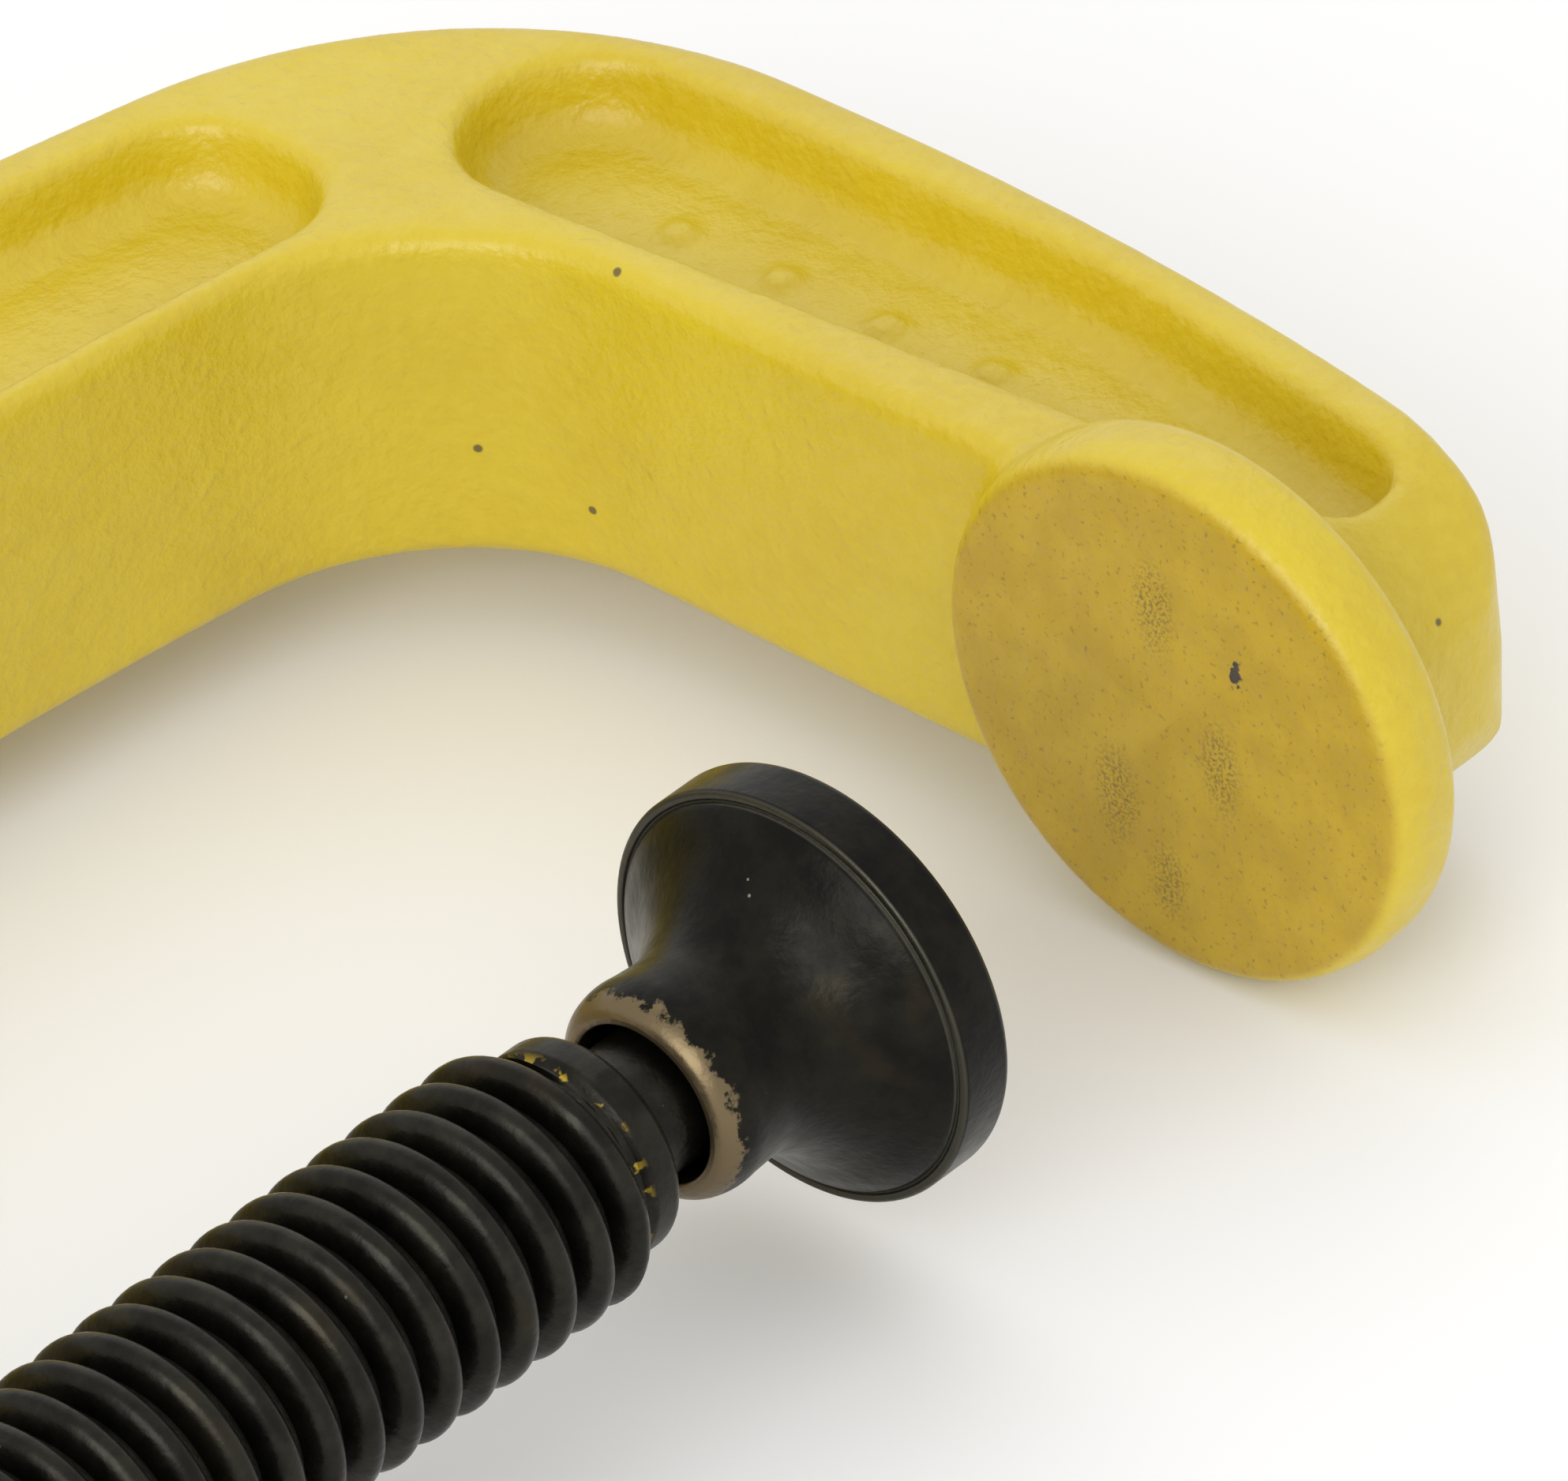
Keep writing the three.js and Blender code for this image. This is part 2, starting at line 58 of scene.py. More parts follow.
# Frame casting, in millimetres. The origin is the middle of the anvil's face, +X runs along the
# spindle towards the anvil, +Y towards the spine and +Z out of the flat side.
THICKNESS = 22.4
BOSS_FACE_X = -117.0
MIRROR_X = BOSS_FACE_X / 2
OUTER_ARM_X = 24.5
OUTER_CORNER = (24.5, 73.6, 31.0)
OUTER_ARM_BEND = (24.5, 20.8, 226.0)
OUTER_SPINE_SLOPE = 0.218
OUTER_SPINE_R = 244.0
INNER_CORNER = (3.05, 58.1, 16.5)
INNER_SPINE_SLOPE = 0.139
INNER_SPINE_R = 341.0
INNER_TIP_X = 2.1
ARM_TIP = (18.2, -THICKNESS / 2, 6.0)
EDGE_R = 1.35
WALL_DRAFT = 0.2

POCKET_DEPTH = 4.8
POCKET_EDGE_R = 0.75
POCKET_FLOOR_R = 2.3
POCKET_DRAFT = 0.35
OUTER_FLANGE = 4.2
INNER_FLANGE = 2.15
ARM_TIP_FLANGE = 6.4
POCKET_CORNER_R = 3.0
POCKET_LEAN = 0.2
ARM_POCKET_ROOT_Y = 62.2
ARM_POCKET_TIP_Y = -4.6
SCREW_POCKET_TIP_Y = 18.0
SPINE_POCKET_X = 1.3

ANVIL_R = 17.0
ANVIL_FACE_R = 15.9
ANVIL_THICKNESS = 5.4
# Wear on the anvil's face, in metres: the chip, then rubbed places with their radius.
CHIP_PLACE = (0, -0.0052, 0.0055)
RUBBED_PLACES = [
    ((0, 0.0043, -0.0066), 0.0032), ((0, 0.0007, 0.0076), 0.0030),
    ((0, 0.0008, -0.0111), 0.0026), ((0, -0.0036, -0.0016), 0.0030),
]
BOSS_R = 14.0
BOSS_LENGTH = 28.0
BORE_R = 8.45
BORE_LEAD = 0.9

VOXEL = 0.42
SMOOTH_PASSES = 5

# Spindle
PITCH = 3.0
CREST_R = 8.0
ROOT_R = 6.3
CREST_HALF_WIDTH = 1.12
THREAD_FRONT_X = -47.5
THREAD_BACK_X = -174.0
END_RING_LENGTH = 2.9
END_RING_R = 6.6
NECK_R = 4.1
NOSE_R = 4.6
NOSE_START_X = -41.4
NOSE_TIP_X = -34.4
GROOVE_R = 3.8
GROOVE_HALF_WIDTH = 0.9
SWIVEL_X = -38.0
HEAD_R = 10.0
HEAD_FRONT_X = -176.0
HEAD_BACK_X = -202.0
BAR_X = -189.0
BAR_R = 4.5
BAR_HOLE_R = 4.85
BAR_HALF_LENGTH = 62.0
CAP_R = 7.0
CAP_DEPTH = 7.0
CAP_OVERHANG = 2.5
CAP_PLAY = 0.3

# Retaining ring and swivel pad
RING_WIRE_R = 0.58
RING_MIDDLE_R = 4.7
PAD_FACE_X = -28.0
PAD_RIM_X = -31.72
PAD_R = 12.8
PAD_MOUTH_X = -43.8
PAD_MOUTH_R = 4.9
PAD_SHOULDER_X = -39.5
PAD_CAVITY_R = 5.6
PAD_FLOOR_X = -33.6
# The pad's back from the rim's inner edge to its collar: x, radius.
PAD_BACK = [
    (-31.95, 11.9), (-32.6, 11.1), (-33.8, 9.4), (-35.2, 7.95), (-36.7, 6.95),
    (-38.3, 6.45), (-40.2, 6.5), (-41.6, 6.6), (-42.8, 6.35), (-43.5, 5.85), (-43.8, 5.35),
]

# Generic raised studs in the anvil arm's pocket.
PIP_FIRST_Y = 24.0
PIP_INSET = 6.0
PIP_SPACING = 8.0
PIP_COUNT = 4
PIP_R = 1.2
PIP_HEIGHT = 0.6

# How far the outermost faces stay inside the CAD box.
SHY = 0.01

# Camera: degrees, millimetres of lens and sensor, metres.
CAMERA_AZIMUTH = -45.64
CAMERA_ELEVATION = 35.67
CAMERA_ROLL = -4.44
CAMERA_PLACE = (-0.52365, -0.48217, 0.51165)
CAMERA_LENS = 362.54
CAMERA_SENSOR = 36

# Stage: metres and watts.
FLOOR_HALF_SIZE = 3.0
FLOOR_GAP = 0.0002
FLOOR_COLOR = (0.93, 0.93, 0.93, 1)
LIGHT_TARGET = (-0.03, 0.02, 0)
KEY_LIGHT = ((0.5, 0.55, 0.8), 0.9, 1.2)
FILL_LIGHT = ((-0.8, -0.25, 0.45), 0.6, 3.5)
WORLD_STRENGTH = 0.92

ROUND_STEPS = 128


# --- outlines -------------------------------------------------------------------------------------

def rounded(corners, inset=0.0, closed=True, arc_step=math.radians(7), sag=0.02):
    """Points along a path through (x, y, radius) corners, moved to its left by inset.

    Each corner is a tangent arc whose step count doesn't depend on inset, so that the rings of one
    outline match point for point."""
    count = len(corners)
    points = []
    for i, (x, y, radius) in enumerate(corners):
        if not closed and i in (0, count - 1):
            points.append((x, y))
            continue
        here = Vector((x, y))
        before = Vector(corners[i - 1][:2])
        after = Vector(corners[(i + 1) % count][:2])
        into = (here - before).normalized()
        out = (after - here).normalized()
        turn = into.x * out.y - into.y * out.x
        bend = math.atan2(turn, into.dot(out))
        miter = (Vector((-into.y, into.x)) + Vector((-out.y, out.x))) / (1 + into.dot(out))
        tip = here + miter * inset
        if radius <= 0:
            points.append(tuple(tip))
            continue
        now = max(radius - math.copysign(inset, bend), 0.02)
        step = min(arc_step, 2 * math.acos(max(0.0, 1 - sag / max(radius, sag))))
        steps = max(2, math.ceil(abs(bend) / step))
        start = tip - into * now * math.tan(abs(bend) / 2)
        side = math.copysign(1, bend)
        centre = start + Vector((-into.y, into.x)) * now * side
        arm = start - centre
        for k in range(steps + 1):
            turned = Matrix.Rotation(bend * k / steps, 2) @ arm
            points.append(tuple(centre + turned))
    return points


def mirrored(corners):
    return [(BOSS_FACE_X - x, y, r) for x, y, r in reversed(corners)]


def frame_corners():
    """The frame's outline, counter-clockwise. The screw arm stops inside the boss, above its bore."""
    span = OUTER_CORNER[0] - MIRROR_X
    outer_apex = (MIRROR_X, OUTER_CORNER[1] + span * OUTER_SPINE_SLOPE, OUTER_SPINE_R)
    span = INNER_CORNER[0] - MIRROR_X
    inner_apex = (MIRROR_X, INNER_CORNER[1] + span * INNER_SPINE_SLOPE, INNER_SPINE_R)
    boss_top = BORE_R + 1.5
    screw_outer = (BOSS_FACE_X - OUTER_ARM_BEND[0] + 1.6, boss_top, 0)
    screw_inner = (BOSS_FACE_X - INNER_TIP_X, boss_top, 0)
    return [
        ARM_TIP,
        OUTER_ARM_BEND,
        OUTER_CORNER,
        outer_apex,
        *mirrored([OUTER_CORNER]),
        screw_outer,
        screw_inner,
        *mirrored([INNER_CORNER]),
        inner_apex,
        INNER_CORNER,
        (INNER_TIP_X, ARM_TIP[1], 0),
    ]


def arm_pocket(tip_y):
    outer_x = OUTER_ARM_X - OUTER_FLANGE
    root_x = INNER_CORNER[0] + INNER_FLANGE
    root_r = (outer_x - root_x) / 2 - 0.3
    below_bend = max(0.0, OUTER_ARM_BEND[1] - POCKET_CORNER_R - tip_y)
    bend = [(outer_x, OUTER_ARM_BEND[1], OUTER_ARM_BEND[2] / 4)] if below_bend else []
    return [
        (INNER_CORNER[0] + ARM_TIP_FLANGE, tip_y, POCKET_CORNER_R),
        (outer_x - below_bend * POCKET_LEAN, tip_y, POCKET_CORNER_R),
        *bend,
        (outer_x, ARM_POCKET_ROOT_Y, root_r),
        (root_x, ARM_POCKET_ROOT_Y, root_r),
    ]


def spine_pocket():
    def outer_y(x):
        return OUTER_CORNER[1] - OUTER_FLANGE + (OUTER_CORNER[0] - x) * OUTER_SPINE_SLOPE

    def inner_y(x):
        return INNER_CORNER[1] + INNER_FLANGE + (INNER_CORNER[0] - x) * INNER_SPINE_SLOPE

    corner = 2 * POCKET_CORNER_R
    end = [
        (SPINE_POCKET_X, inner_y(SPINE_POCKET_X), corner),
        (SPINE_POCKET_X, outer_y(SPINE_POCKET_X), corner),
    ]
    return [
        *end,
        (MIRROR_X, outer_y(MIRROR_X), OUTER_SPINE_R),
        *mirrored(end),
        (MIRROR_X, inner_y(MIRROR_X), INNER_SPINE_R),
    ]


# --- meshes ---------------------------------------------------------------------------------------

def object_from(name, bm):
    mesh = bpy.data.meshes.new(name)
    bmesh.ops.recalc_face_normals(bm, faces=bm.faces)
    bm.to_mesh(mesh)
    bm.free()
    for polygon in mesh.polygons:
        polygon.use_smooth = True
    piece = bpy.data.objects.new(name, mesh)
    bpy.context.scene.collection.objects.link(piece)
    return piece


def add_turned(bm, profile, steps=ROUND_STEPS, axis="X", centre=(0, 0, 0)):
    """Adds a solid of revolution from (along, radius) points; ends on the axis or closes on itself."""
    rings = []
    for along, radius in profile:
        if radius < 1e-6:
            spots = [(along, 0.0, 0.0)]
        else:
            angles = [2 * math.pi * k / steps for k in range(steps)]
            spots = [(along, radius * math.cos(a), radius * math.sin(a)) for a in angles]
        if axis == "Y":
            spots = [(-b, a, c) for a, b, c in spots]
        rings.append([bm.verts.new((Vector(s) + Vector(centre)) * MM) for s in spots])
    on_axis = len(rings[0]) == 1
    pairs = list(zip(rings, rings[1:])) + ([] if on_axis else [(rings[-1], rings[0])])
    for low, high in pairs:
        for k in range(steps):
            quad = [
                low[k % len(low)],
                low[(k + 1) % len(low)],
                high[(k + 1) % len(high)],
                high[k % len(high)],
            ]
            corners = list(dict.fromkeys(quad))
            if len(corners) > 2:
                bm.faces.new(corners)


def bridge(bm, low, high):
    for k in range(len(low)):
        n = (k + 1) % len(low)
        bm.faces.new((low[k], low[n], high[n], high[k]))


def arc(start, steps=6):
    """Angles of a quarter circle from start degrees."""
    return [math.radians(start + 90 * k / steps) for k in range(steps + 1)]


def fill_between(bm, outer, holes):
    """Fills the flat region between one ring of vertices and the rings inside it."""
    edges = []
    for ring in [outer, *holes]:
        for k in range(len(ring)):
            pair = (ring[k], ring[(k + 1) % len(ring)])
            edges.append(bm.edges.get(pair) or bm.edges.new(pair))
    bmesh.ops.triangle_fill(bm, use_beauty=True, use_dissolve=False, edges=edges)


def frame_slab():
    """The I-section casting without anvil and boss: rings down each wall, flat regions between."""
    bm = bmesh.new()
    outline = frame_corners()
    pockets = [arm_pocket(ARM_POCKET_TIP_Y), mirrored(arm_pocket(SCREW_POCKET_TIP_Y)), spine_pocket()]
    top = THICKNESS / 2

    def ring(corners, inset, z):
        return [bm.verts.new(Vector((x, y, z)) * MM) for x, y in rounded(corners, inset)]

    wall = [(WALL_DRAFT + EDGE_R * (1 - math.cos(a)), top - EDGE_R * (1 - math.sin(a))) for a in arc(0)]
    well = [(-POCKET_EDGE_R * (1 - math.sin(a)), top - POCKET_EDGE_R * (1 - math.cos(a))) for a in arc(0)]
    floor = top - POCKET_DEPTH
    well += [
        (POCKET_DRAFT + POCKET_FLOOR_R * (1 - math.cos(a)), floor + POCKET_FLOOR_R * (1 - math.sin(a)))
        for a in arc(0)
    ]
    middle = ring(outline, 0, 0)
    for side in (1, -1):
        rings = [middle] + [ring(outline, inset, side * z) for inset, z in wall]
        for low, high in zip(rings, rings[1:]):
            bridge(bm, low, high)
        mouths = []
        for corners in pockets:
            wells = [ring(corners, inset, side * z) for inset, z in well]
            for low, high in zip(wells, wells[1:]):
                bridge(bm, low, high)
            mouths.append(wells[0])
            fill_between(bm, wells[-1], [])
        fill_between(bm, rings[-1], mouths)
    return object_from("frame_slab", bm)


def applied(piece):
    """The piece's mesh with its modifiers applied; the piece itself goes."""
    depsgraph = bpy.context.evaluated_depsgraph_get()
    mesh = bpy.data.meshes.new_from_object(piece.evaluated_get(depsgraph))
    bpy.data.objects.remove(piece)
    return mesh


def remeshed(piece, voxel, passes):
    """Applies a voxel remesh and a light smoothing, and returns the dense mesh."""
    remesh = piece.modifiers.new("remesh", "REMESH")
    remesh.mode = "VOXEL"
    remesh.voxel_size = voxel * MM
    remesh.use_smooth_shade = True
    if passes:
        smooth = piece.modifiers.new("smooth", "SMOOTH")
        smooth.factor = 0.5
        smooth.iterations = passes
    return applied(piece)


def coordinates(mesh):
    co = np.empty(len(mesh.vertices) * 3, np.float64)
    mesh.vertices.foreach_get("co", co)
    return co.reshape(-1, 3)


def round_arm_tip(mesh):
    """Rolls the flat sides of the anvil arm's end over into a nose about the spindle's axis."""
    co = coordinates(mesh)
    half = THICKNESS / 2 * MM
    tip = (co[:, 1] < 0) & (co[:, 0] > 0)
    fall = np.sqrt(np.clip(1 - (co[tip, 1] / (half * 1.04)) ** 2, 0.0, 1))
    co[tip, 2] *= fall
    mesh.vertices.foreach_set("co", co.ravel())


def add_pips(bm):
    """Plain round studs on the floor of the anvil arm's pocket, on both sides."""
    middle_x = OUTER_ARM_X - OUTER_FLANGE - PIP_R - PIP_INSET
    floor = THICKNESS / 2 - POCKET_DEPTH
    for side in (1, -1):
        for k in range(PIP_COUNT):
            y = PIP_FIRST_Y + k * PIP_SPACING
            rings = []
            for rise, radius in ((-1.0, PIP_R), (PIP_HEIGHT - 0.4, PIP_R), (PIP_HEIGHT, PIP_R - 0.4)):
                angles = [2 * math.pi * i / 24 for i in range(24)]
                z = side * (floor + rise)
                spots = [(middle_x + radius * math.cos(a), y + radius * math.sin(a), z) for a in angles]
                rings.append([bm.verts.new(Vector(s) * MM) for s in spots])
            for low, high in zip(rings, rings[1:]):
                bridge(bm, low, high)
            bm.faces.new(rings[0])
            bm.faces.new(rings[-1])


def build_frame():
    slab = remeshed(frame_slab(), VOXEL, 0)
    round_arm_tip(slab)
    bm = bmesh.new()
    bm.from_mesh(slab)
    anvil = [
        (0, 0, 0), (0, ANVIL_FACE_R + 0.5, 0.9), (2.0, ANVIL_R, 2.2),
        (ANVIL_THICKNESS, ANVIL_R - 0.2, 1.4), (ANVIL_THICKNESS, 0, 0),
    ]
    add_turned(bm, rounded(anvil, closed=False))
    back = BOSS_FACE_X - BOSS_LENGTH
    boss = [
        (BOSS_FACE_X, BORE_R + BORE_LEAD, 0), (BOSS_FACE_X, BOSS_R, 1.6), (back, BOSS_R, 1.6),
        (back, BORE_R + BORE_LEAD, 0.3), (back + BORE_LEAD, BORE_R, 0.3),
        (BOSS_FACE_X - BORE_LEAD, BORE_R, 0.3),
        (BOSS_FACE_X, BORE_R + BORE_LEAD, 0),
    ]
    add_turned(bm, rounded(boss, closed=False)[:-1])
    add_pips(bm)
    piece = object_from("frame_shell", bm)
    mesh = remeshed(piece, VOXEL, SMOOTH_PASSES)
    casting = bpy.data.objects.new("frame_casting", mesh)
    bpy.context.scene.collection.objects.link(casting)
    return casting


def thread_radius(offset):
    """Radius of the round-crested thread at an axial distance from a crest's middle."""
    u = abs((offset / PITCH + 0.5) % 1 - 0.5) * PITCH
    fall = min(1.0, u / CREST_HALF_WIDTH)
    return ROOT_R + (CREST_R - ROOT_R) * (1 - fall ** 2.4) ** 0.75


def thread_envelope(x):
    """Largest radius of the thread at x: rounded run-outs at both ends."""
    run_out = 1.7
    crest_front = THREAD_FRONT_X - END_RING_LENGTH
    limit = CREST_R
    for depth, low in ((crest_front - x, ROOT_R - 0.3), (x - THREAD_BACK_X, ROOT_R - 0.05)):
        rise = math.sin(math.pi / 2 * min(1.0, max(0.0, depth / run_out)))
        limit = min(limit, low + (CREST_R - low) * rise)
    return limit


def add_thread(bm):
    """A right-handed helix: row i, column j lies i steps along and has risen j columns' lead."""
    per_turn = 72
    per_pitch = 18
    low_x = HEAD_FRONT_X - 2 * PITCH
    high_x = THREAD_FRONT_X
    rows = []
    turns = math.ceil((high_x - low_x) / PITCH) + 1
    start = THREAD_FRONT_X - turns * PITCH
    for i in range(turns * per_pitch + 1):
        row = []
        for j in range(per_turn):
            lead = PITCH * j / per_turn
            x = start + PITCH * i / per_pitch + lead
            r = min(thread_radius(x - THREAD_FRONT_X - lead), thread_envelope(x))
            angle = 2 * math.pi * j / per_turn
            row.append(bm.verts.new(Vector((x, r * math.cos(angle), r * math.sin(angle))) * MM))
        rows.append(row)
    for i in range(len(rows) - 1):
        for j in range(per_turn - 1):
            bm.faces.new((rows[i][j], rows[i + 1][j], rows[i + 1][j + 1], rows[i][j + 1]))
        if i + 1 + per_pitch < len(rows):
            last = per_turn - 1
            above = (rows[i + 1 + per_pitch][0], rows[i + per_pitch][0])
            bm.faces.new((rows[i][last], rows[i + 1][last], *above))
    for x, normal in ((THREAD_FRONT_X - 1.2, (1, 0, 0)), (HEAD_FRONT_X - 1.2, (-1, 0, 0))):
        geometry = bm.verts[:] + bm.edges[:] + bm.faces[:]
        plane = {"plane_co": Vector((x, 0, 0)) * MM, "plane_no": normal}
        cut = bmesh.ops.bisect_plane(bm, geom=geometry, dist=1e-7, clear_outer=True, **plane)
        edges = [e for e in cut["geom_cut"] if isinstance(e, bmesh.types.BMEdge)]
        bmesh.ops.edgeloop_fill(bm, edges=edges)


def crisp(piece, angle=35):
    """Smooth shading that keeps the edges sharper than angle."""
    piece.data.set_sharp_from_angle(angle=math.radians(angle))
    return piece


def turned_piece(name, profile, **place):
    bm = bmesh.new()
    add_turned(bm, profile, **place)
    return crisp(object_from(name, bm))


def drilled_head():
    profile = [
        (HEAD_FRONT_X, 0, 0), (HEAD_FRONT_X, HEAD_R, 1.5), (HEAD_BACK_X, HEAD_R, 1.5), (HEAD_BACK_X, 0, 0),
    ]
    head = turned_piece("head", rounded(profile, closed=False), steps=96)
    reach = 2 * HEAD_R
    bore = [(-reach, 0), (-reach, BAR_HOLE_R), (reach, BAR_HOLE_R), (reach, 0)]
    drill = turned_piece("drill", bore, axis="Y", centre=(BAR_X, 0, 0), steps=64)
    cut = head.modifiers.new("cross_hole", "BOOLEAN")
    cut.object = drill
    cut.operation = "DIFFERENCE"
    cut.solver = "EXACT"
    edge = head.modifiers.new("edge", "BEVEL")
    edge.width = 0.45 * MM
    edge.segments = 3
    edge.limit_method = "ANGLE"
    edge.angle_limit = math.radians(40)
    mesh = applied(head)
    bpy.data.objects.remove(drill)
    return mesh


def build_spindle():
    bm = bmesh.new()
    add_thread(bm)
    crest_front = THREAD_FRONT_X - END_RING_LENGTH
    groove_back = SWIVEL_X - GROOVE_HALF_WIDTH
    groove_front = SWIVEL_X + GROOVE_HALF_WIDTH
    front = [
        (crest_front - 1.0, 0, 0), (crest_front - 1.0, ROOT_R - 0.15, 0),
        (crest_front + 0.25, ROOT_R - 0.15, 0.25), (crest_front + 0.7, END_RING_R, 0.5),
        (THREAD_FRONT_X, END_RING_R, 0.8), (THREAD_FRONT_X, NECK_R, 0.9),
        (NOSE_START_X, NECK_R, 0.3), (NOSE_START_X + 0.5, NOSE_R, 0.3),
        (groove_back, NOSE_R, 0.12), (groove_back, GROOVE_R, 0.15),
        (groove_front, GROOVE_R, 0.15), (groove_front, NOSE_R, 0.12),
        (NOSE_TIP_X, NOSE_R, 2.2), (NOSE_TIP_X, 0, 0),
    ]
    add_turned(bm, rounded(front, closed=False), steps=96)
    head = drilled_head()
    bm.from_mesh(head)
    return crisp(object_from("spindle_steel", bm))


def spline(p, q, r, s, t):
    """The Catmull-Rom value between q and r at t."""
    linear = (r - p) * t
    square = (2 * p - 5 * q + 4 * r - s) * t * t
    cube = (3 * q - p - 3 * r + s) * t ** 3
    return 0.5 * (2 * q + linear + square + cube)


def smoothed(points, per_span=6):
    """A Catmull-Rom curve through the points."""
    path = [points[0], *points, points[-1]]
    out = []
    for a, b, c, d in zip(path, path[1:], path[2:], path[3:]):
        for k in range(per_span):
            t = k / per_span
            out.append(tuple(spline(*values, t) for values in zip(a, b, c, d)))
    return out + [points[-1]]


def build_pad():
    rim = [
        (PAD_FACE_X, 0, 0), (PAD_FACE_X, PAD_R, 0.6), (PAD_RIM_X, PAD_R, 0.3),
        (PAD_RIM_X, PAD_R - 0.5, 0.12), (PAD_RIM_X + 0.25, PAD_R - 0.68, 0.1), (*PAD_BACK[0], 0),
    ]
    bore = [
        (*PAD_BACK[-1], 0), (PAD_MOUTH_X, PAD_MOUTH_R, 0.25), (PAD_SHOULDER_X, PAD_MOUTH_R, 0.1),
        (PAD_SHOULDER_X, PAD_CAVITY_R, 0.1), (PAD_FLOOR_X, PAD_CAVITY_R, 1), (PAD_FLOOR_X, 0, 0),
    ]
    profile = rounded(rim, closed=False)[:-1] + smoothed(PAD_BACK)[:-1] + rounded(bore, closed=False)
    return turned_piece("pad_steel", profile)


def build_ring():
    wire = [2 * math.pi * k / 20 for k in range(20)]
    profile = [
        (SWIVEL_X + RING_WIRE_R * math.cos(a), RING_MIDDLE_R + RING_WIRE_R * math.sin(a)) for a in wire
    ]
    return turned_piece("ring_wire", profile, steps=64)


def build_bar():
    end = BAR_HALF_LENGTH
    profile = rounded([(-end, 0, 0), (-end, BAR_R, 0.8), (end, BAR_R, 0.8), (end, 0, 0)], closed=False)
    return turned_piece("bar_rod", profile, axis="Y", centre=(BAR_X, 0, 0), steps=64)


def build_cap(name, side):
    mouth = BAR_HALF_LENGTH - CAP_DEPTH
    top = BAR_HALF_LENGTH + CAP_OVERHANG - SHY
    floor = BAR_HALF_LENGTH + CAP_PLAY
    bore = BAR_R + CAP_PLAY
    profile = [
        (top, 0, 0), (top, CAP_R, 2.4), (mouth, CAP_R, 1.2),
        (mouth, bore, 0.3), (floor, bore, 0.3), (floor, 0, 0),
    ]
    path = [(side * along, r) for along, r in rounded(profile, closed=False)]
    return turned_piece(name, path, axis="Y", centre=(BAR_X, 0, 0), steps=64)


# --- materials ------------------------------------------------------------------------------------

class Nodes:
    """Small helper to write a node material top down."""

    def __init__(self, name):
        self.material = bpy.data.materials.new(name)
        self.material.use_nodes = True
        self.tree = self.material.node_tree
        self.shader = self.tree.nodes["Principled BSDF"]
        self.place = self.tree.nodes.new("ShaderNodeTexCoord").outputs["Object"]

    def node(self, kind, inputs=None, **settings):
        made = self.tree.nodes.new(kind)
        for key, value in settings.items():
            setattr(made, key, value)
        for key, value in (inputs or {}).items():
            self.put(made.inputs[key], value)
        return made

    def put(self, socket, value):
        if isinstance(value, bpy.types.NodeSocket):
            self.tree.links.new(value, socket)
        else:
            socket.default_value = value

    def noise(self, scale, detail=4.0, roughness=0.55, vector=None):
        inputs = {"Vector": vector or self.place, "Scale": scale, "Detail": detail, "Roughness": roughness}
        return self.node("ShaderNodeTexNoise", inputs).outputs["Fac"]

    def cells(self, scale, vector=None):
        inputs = {"Vector": vector or self.place, "Scale": scale}
        return self.node("ShaderNodeTexVoronoi", inputs).outputs["Distance"]

    def ramp(self, value, low, high, start=0.0, end=1.0):
        inputs = {"Value": value, "From Min": low, "From Max": high, "To Min": start, "To Max": end}
        made = self.node("ShaderNodeMapRange", inputs, interpolation_type="SMOOTHSTEP")
        return made.outputs["Result"]

    def math(self, operation, a, b=0.0):
        made = self.node("ShaderNodeMath", {0: a, 1: b}, operation=operation)
        return made.outputs["Value"]

    def mix(self, factor, a, b):
        made = self.node("ShaderNodeMix", data_type="RGBA")
        self.put(made.inputs["Factor"], factor)
        self.put(made.inputs[6], a)
        self.put(made.inputs[7], b)
        return made.outputs[2]

    def bump(self, height, distance, strength=1.0, normal=None):
        inputs = {"Height": height, "Distance": distance, "Strength": strength}
        if normal is not None:
            inputs["Normal"] = normal
        return self.node("ShaderNodeBump", inputs).outputs["Normal"]


def srgb(r, g, b):
    def linear(v):
        v /= 255
        return v / 12.92 if v <= 0.04045 else ((v + 0.055) / 1.055) ** 2.4

    return (linear(r), linear(g), linear(b), 1.0)


def from_point(n, point, stretch=(1, 1, 1)):
    """Distance from a point in metres, in a space stretched along the axes."""
    away = n.node("ShaderNodeVectorMath", {0: n.place, 1: point}, operation="SUBTRACT").outputs["Vector"]
    away = n.node("ShaderNodeVectorMath", {0: away, 1: stretch}, operation="MULTIPLY").outputs["Vector"]
    return n.node("ShaderNodeVectorMath", {0: away}, operation="LENGTH").outputs["Value"]


def anvil_mask(n):
    """1 on the anvil's working face, 0 on the rest of the casting."""
    x = n.node("ShaderNodeSeparateXYZ", {"Vector": n.place}).outputs["X"]
    near = n.ramp(from_point(n, (0, 0, 0)), 0.0158, 0.0166, 1, 0)
    return n.math("MULTIPLY", n.ramp(x, 0.0004, 0.0012, 1, 0), near)


